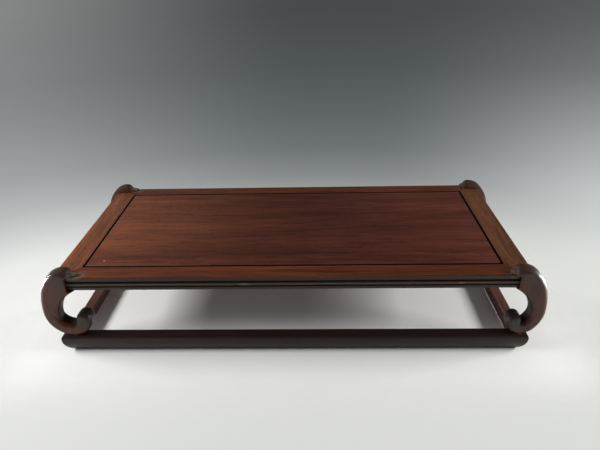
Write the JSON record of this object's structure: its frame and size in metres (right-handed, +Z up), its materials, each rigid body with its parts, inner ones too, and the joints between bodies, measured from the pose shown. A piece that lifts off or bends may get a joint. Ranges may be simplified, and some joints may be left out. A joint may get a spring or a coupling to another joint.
{
  "type": "flower stand",
  "caption": "Low rectangular hardwood display stand: framed panel top gripped at its corners by C-scroll legs that stand on two long base rails joined by low end rails.",
  "frame": {"origin": "on the floor, under the middle of the stand", "axes": "+X along the stand's length, to the right of its front; +Y to the back; +Z up"},
  "size_m": [0.4848, 0.211, 0.0953],
  "materials": {
    "frame_wood": "satin polish",
    "panel_wood": "satin polish",
    "leg_wood": "gloss polish",
    "base_wood": "satin polish",
    "batten_wood": "bare, sanded",
    "dowel_wood": "bare"
  },
  "bodies": {
    "root": {"front_rail": "frame_wood", "back_rail": "frame_wood", "left_end_rail": "frame_wood", "right_end_rail": "frame_wood", "top_panel": "panel_wood", "left_batten": "batten_wood", "right_batten": "batten_wood", "front_left_leg": "leg_wood", "front_right_leg": "leg_wood", "back_left_leg": "leg_wood", "back_right_leg": "leg_wood", "base_front_rail": "base_wood", "base_back_rail": "base_wood", "base_left_rail": "base_wood", "base_right_rail": "base_wood", "frame_dowels": "dowel_wood", "base_dowels": "dowel_wood"}
  },
  "joints": []
}
